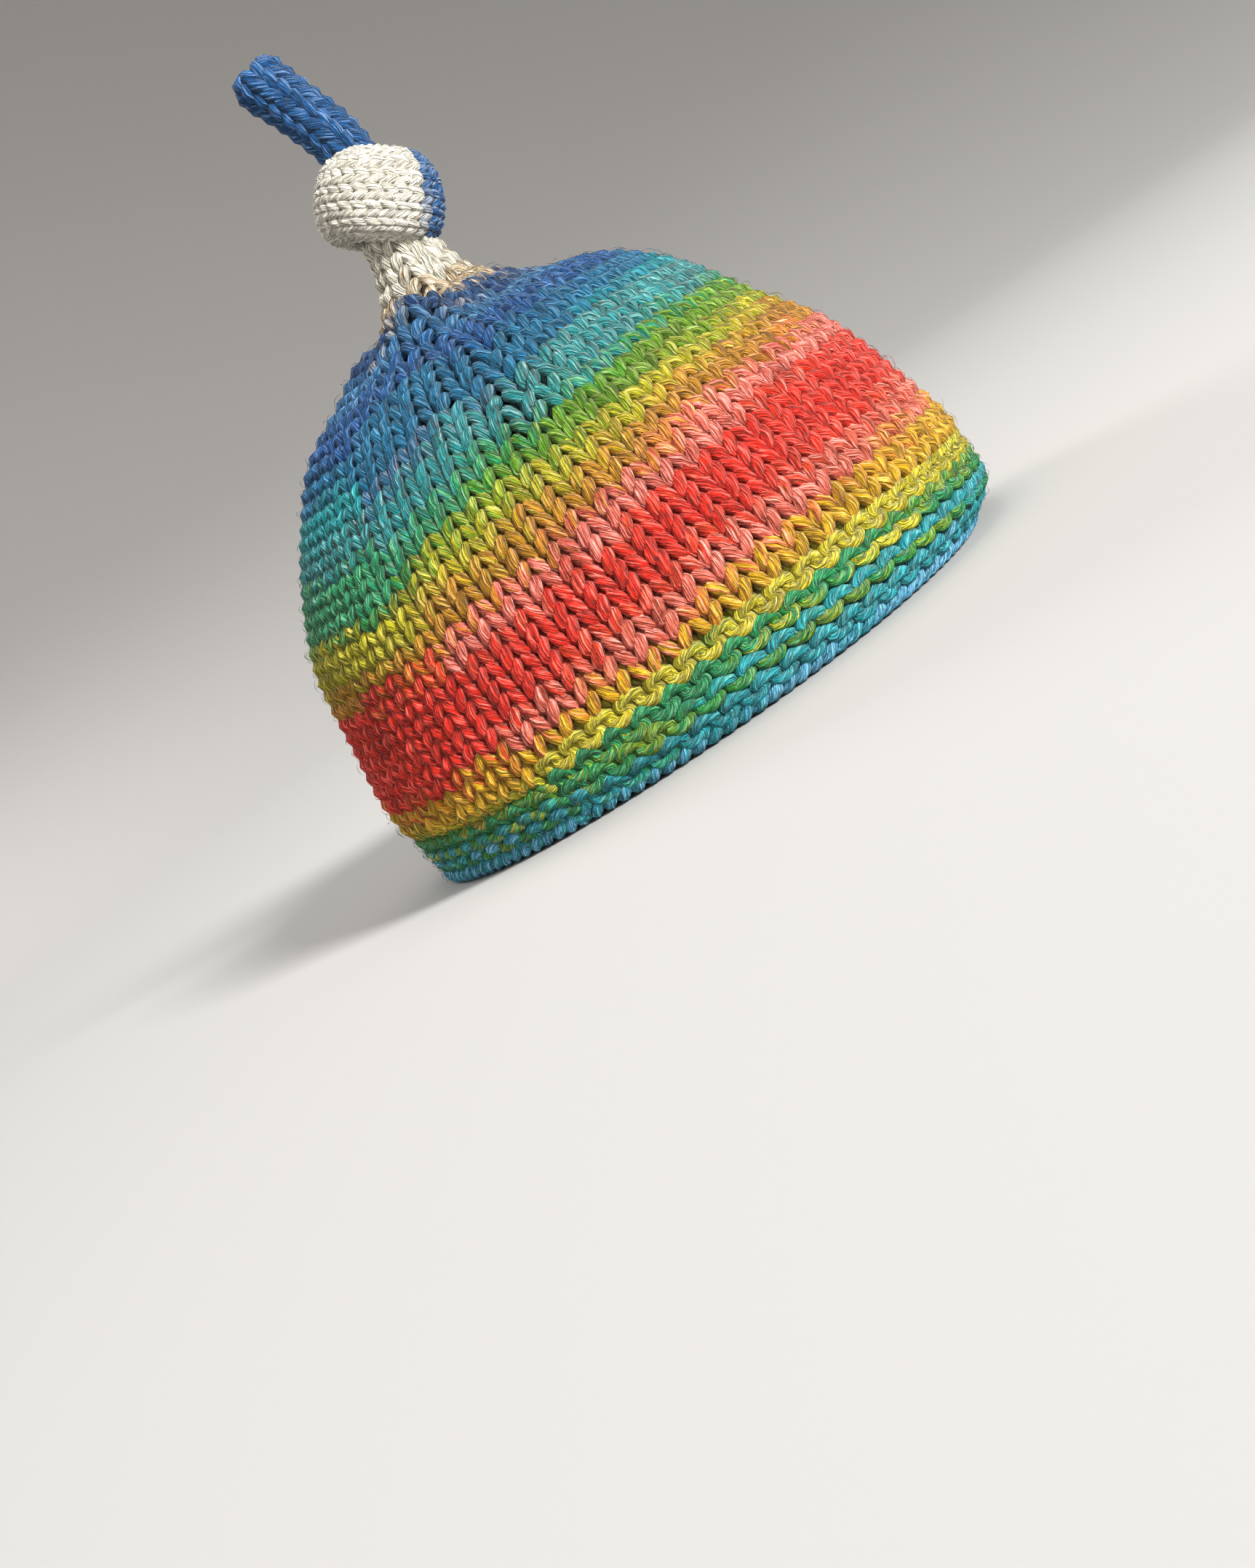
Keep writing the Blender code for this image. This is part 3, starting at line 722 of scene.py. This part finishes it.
# The pieces of the band: two strands coiled round each other for the edge, then the ridges
GARTER_TWIST = 0.0095
BAND_FIBRES = 1800
COIL_RADIUS, COIL_YARN, COIL_RINGS = 0.0009, 0.00105, 10
COIL_DROP, COIL_OUT = 0.0006, 0.0006
band_wool = wool("band_wool", srgb(225, 240, 232), 0.22)
coil_turns = np.linspace(0.0, 1.0, STITCHES * COIL_RINGS + 1)
band_pieces = []
for name, lead in (("cast_on_front", 0.0), ("cast_on_back", math.pi)):
    coil_angle = lead - coil_turns * STITCHES * 2 * np.pi
    coil_height = EDGE_HEIGHT - COIL_DROP + COIL_RADIUS * np.sin(coil_angle)
    coil_middle, coil_out = on_cloth(hat_cloth, hat_turn(coil_turns, coil_height), coil_height)
    coil_points = coil_middle + (COIL_OUT + COIL_RADIUS * np.cos(coil_angle))[:, None] * coil_out
    band_pieces.append(yarn(name, coil_points, coil_out, np.full(len(coil_points), COIL_YARN),
                            hat_shades(coil_turns, np.zeros_like(coil_turns)), GARTER_TWIST,
                            band_wool))
strand = hat_strand(1, GARTER_ROUNDS)
band_pieces.append(yarn("band_knit", *strand, GARTER_TWIST, band_wool))
band_pieces.append(fuzz("band_fuzz", BAND_FIBRES, *strand, band_wool))
for piece in band_pieces:
    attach(piece, "root")
    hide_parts("garter_band")


# The body is plain knitting in the round, in a red band between gold, green and teal wool. Its
# columns of V-shaped stitches lean a little to the left. It is knitted on from the band.
BODY_TOP = 0.076
BODY_FIBRES = 2200
TWIST_PITCH = 0.0130
body_last = int(np.searchsorted(round_heights, BODY_TOP))
body_split = (GARTER_ROUNDS + 1 + body_last) // 2
body_wool = wool("body_wool", srgb(255, 214, 198), 0.26)
for part, first, last in (("low", GARTER_ROUNDS + 1, body_split),
                          ("high", body_split + 1, body_last)):
    strand = hat_strand(first, last)
    for piece in (yarn(f"body_knit_{part}", *strand, TWIST_PITCH, body_wool),
                  fuzz(f"body_fuzz_{part}", BODY_FIBRES, *strand, body_wool)):
        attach(piece, "root")
        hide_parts("knit_body")


# The crown is the same knitting in teal and blue wool, with ever fewer stitches to the round,
# drawn up in folds round the foot of the neck.
CROWN_FIBRES = 1700
crown_last = int(np.searchsorted(round_heights, DOME_WAY)) - 1
crown_wool = wool("crown_wool", srgb(190, 222, 238), 0.20)
strand = hat_strand(body_last + 1, crown_last)
for piece in (yarn("crown_knit", *strand, TWIST_PITCH, crown_wool),
              fuzz("crown_fuzz", CROWN_FIBRES, *strand, crown_wool)):
    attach(piece, "root")
    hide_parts("gathered_crown")


# The neck is the last few stitches of the crown, knitted on as a narrow tube in tan and cream
# wool. It rises out of the gathers and goes up into the knot.
neck_wool = wool("neck_wool", srgb(255, 252, 244), 0.5, 0.04)
neck = yarn("neck_knit", *hat_strand(crown_last + 1, top_round), TWIST_PITCH, neck_wool)
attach(neck, "root")
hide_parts("cord_neck")


# The knot is the same tube, in cream wool that turns blue, passed once round its own neck and
# pulled tight. Its columns of stitches run round the barrel.
KNOT_RADIUS, KNOT_TILT, KNOT_FORWARD = 0.0127, math.radians(35.0), 0.0010
# The barrel's section, once round it: level as a share of its height, and radius as a share.
KNOT_SECTION = np.array((
    (-0.500, 0.44), (-0.500, 0.60), (-0.470, 0.78), (-0.390, 0.90), (-0.260, 0.97),
    (-0.080, 1.00), (0.110, 0.97), (0.270, 0.89), (0.400, 0.75), (0.470, 0.60), (0.500, 0.42),
    (0.440, 0.34), (0.25, 0.31), (0.0, 0.30), (-0.25, 0.31), (-0.44, 0.35), (-0.500, 0.44),
))
SECTION_POINTS, WRAP_POINTS = 121, 181
ROUNDED_OVER, ROUNDED_TIMES = 3, 2
CORD_DEPTH = 0.0018
KNOT_ROUNDS, KNOT_COLUMNS = 26, 14
BLUE_FROM, BLUE_TO, BLUE_EDGE = 23.2, 5.0, 0.3
KNOT_CREAM, KNOT_BLUE = np.array(srgb(252, 246, 230)), np.array(srgb(62, 110, 165))
knot_middle = (KNOT_LOW + KNOT_HIGH) / 2
knot_lean = CORD_LEAN * (knot_middle - CROWN_HEIGHT) / (KNOT_HIGH - CROWN_HEIGHT)
knot_centre = np.array((-NECK_SETBACK + knot_lean + KNOT_FORWARD, 0.0, knot_middle))
# The section is laid out in even steps, and its corners are rounded over
section_sizes = KNOT_SECTION * (KNOT_HEIGHT, KNOT_RADIUS)
section_way = np.concatenate(((0.0,), np.cumsum(np.hypot(*np.diff(section_sizes, axis=0).T))))
section_at = np.linspace(0.0, section_way[-1], SECTION_POINTS)
level, girth = (np.interp(section_at, section_way, sizes) for sizes in section_sizes.T)
kernel = np.ones(2 * ROUNDED_OVER + 1) / (2 * ROUNDED_OVER + 1)
for _ in range(ROUNDED_TIMES):
    level, girth = (
        np.convolve(np.concatenate((line[-1 - ROUNDED_OVER:-1], line, line[1:1 + ROUNDED_OVER])),
                    kernel, "valid")
        for line in (level, girth))
wrap_turns = np.linspace(0.0, 2 * np.pi, WRAP_POINTS)
barrel = np.stack((girth[:, None] * np.cos(wrap_turns), girth[:, None] * np.sin(wrap_turns),
                   level[:, None] + 0.0 * wrap_turns), axis=-1)
knot_skin = knot_centre + barrel @ np.array(Matrix.Rotation(KNOT_TILT, 3, "Y")).T
knot_length = 2 * np.pi * KNOT_RADIUS
knot_cloth = cloth(knot_skin[::-1], CORD_DEPTH, seat=WRAP_POINTS - 1, length=knot_length)


def knot_way(turns):
    """Metres round the barrel at a number of rounds of the cord."""
    return turns / KNOT_ROUNDS * knot_length


def cord_turn(turns, up):
    """The way round the cord's own section."""
    return -2 * np.pi * turns


def knot_form(number):
    """Shape of the loops of the knot, in every round."""
    return {"half": 0.0028, "wave": 0.0010, "thick": 0.00096, "swell": 0.05, "spread": 0.27,
            "skew": 0.0, "own": 1.0, "next": 1.0}


knot_wool = wool("knot_wool", srgb(255, 250, 238), 0.6, 0.26)
knot_plan = stitch_plan([KNOT_COLUMNS] * KNOT_ROUNDS)
points, out, radii, turns, sunk = stitch_path(knot_cloth, knot_plan, 0, KNOT_ROUNDS - 1,
                                              knot_way, cord_turn, knot_form)
blueness = np.clip(np.maximum(turns - BLUE_FROM, BLUE_TO - turns) / BLUE_EDGE + 0.5, 0.0, 1.0)
knot_shades = KNOT_CREAM + (KNOT_BLUE - KNOT_CREAM) * blueness[:, None]
# Painted shade where the yarn dips, half as deep as on the hat.
knot_shades = knot_shades * (1 - SUNK_SHADE / 2 * sunk)[:, None]
knot = yarn("knot_knit", points, out, radii, (knot_shades, knot_shades), TWIST_PITCH, knot_wool)
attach(knot, "root")
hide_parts("knot_wrap")


# The tail is the free end of the tube, in blue wool. It comes up through the knot, leans back
# and is drawn shut at its tip.
CORD_RADIUS, TAIL_LENGTH = 0.0050, 0.0240
# The tail's line, from inside the knot: rise and drift to the back as shares of its length,
# and girth as a share of the cord's.
TAIL = np.array((
    (-0.25, -0.01, 0.97), (0.00, 0.000, 0.97), (0.14, 0.015, 0.99), (0.28, 0.050, 0.99),
    (0.42, 0.098, 0.99), (0.56, 0.147, 1.00), (0.70, 0.200, 1.03), (0.82, 0.248, 1.07),
    (0.91, 0.278, 1.02), (0.97, 0.298, 0.80), (1.00, 0.308, 0.45), (1.005, 0.310, 0.15),
))
TAIL_POINTS, TAIL_STITCHES, TAIL_FOOT = 120, 6, 0.001
TAIL_BLUE = np.array(srgb(66, 104, 154))
tail_at = np.linspace(0, len(TAIL) - 1, TAIL_POINTS)
tail_rise, tail_drift, tail_girth = (
    smooth_curve(np.arange(len(TAIL)) * 1.0, TAIL[:, column], tail_at) for column in range(3))
tail_start = np.array((-NECK_SETBACK + CORD_LEAN, 0.0, KNOT_HIGH))
tail_line = tail_start + TAIL_LENGTH * np.stack((-tail_drift, 0.0 * tail_rise, tail_rise), axis=-1)
tail_ahead = np.gradient(tail_line, axis=0)
tail_ahead /= np.linalg.norm(tail_ahead, axis=1, keepdims=True)
tail_across = np.stack((tail_ahead[:, 2], 0.0 * tail_rise, -tail_ahead[:, 0]), axis=-1)
tail_skin = (tail_line[None] + (tail_girth * CORD_RADIUS)[None, :, None]
             * (np.cos(TURN_GRID)[:, None, None] * tail_across[None]
                + np.sin(TURN_GRID)[:, None, None] * np.array((0.0, 1.0, 0.0))))
tail_cloth = cloth(tail_skin, CORD_DEPTH)
tail_rounds = int(tail_cloth["top"] / PLAIN_PITCH)


def tail_way(turns):
    """Metres up the tail at a number of rounds."""
    return TAIL_FOOT + turns * PLAIN_PITCH


def tail_form(number):
    """Shape of the loops of the tail, in every round."""
    return {"half": 0.0028, "wave": 0.0011, "thick": 0.00120, "swell": 0.15, "spread": 0.24,
            "skew": 0.0, "own": 1.0, "next": 1.0}


tail_wool = wool("tail_wool", srgb(200, 222, 245), 0.25)
tail_plan = stitch_plan([TAIL_STITCHES] * tail_rounds)
points, out, radii, turns, sunk = stitch_path(tail_cloth, tail_plan, 0, tail_rounds - 1, tail_way,
                                              cord_turn, tail_form)
# Painted shade where the yarn dips.
tail_shades = TAIL_BLUE * (1 - SUNK_SHADE * sunk)[:, None]
tail = yarn("tail_knit", points, out, radii, (tail_shades, tail_shades), TWIST_PITCH, tail_wool)
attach(tail, "root")
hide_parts("cord_tail")
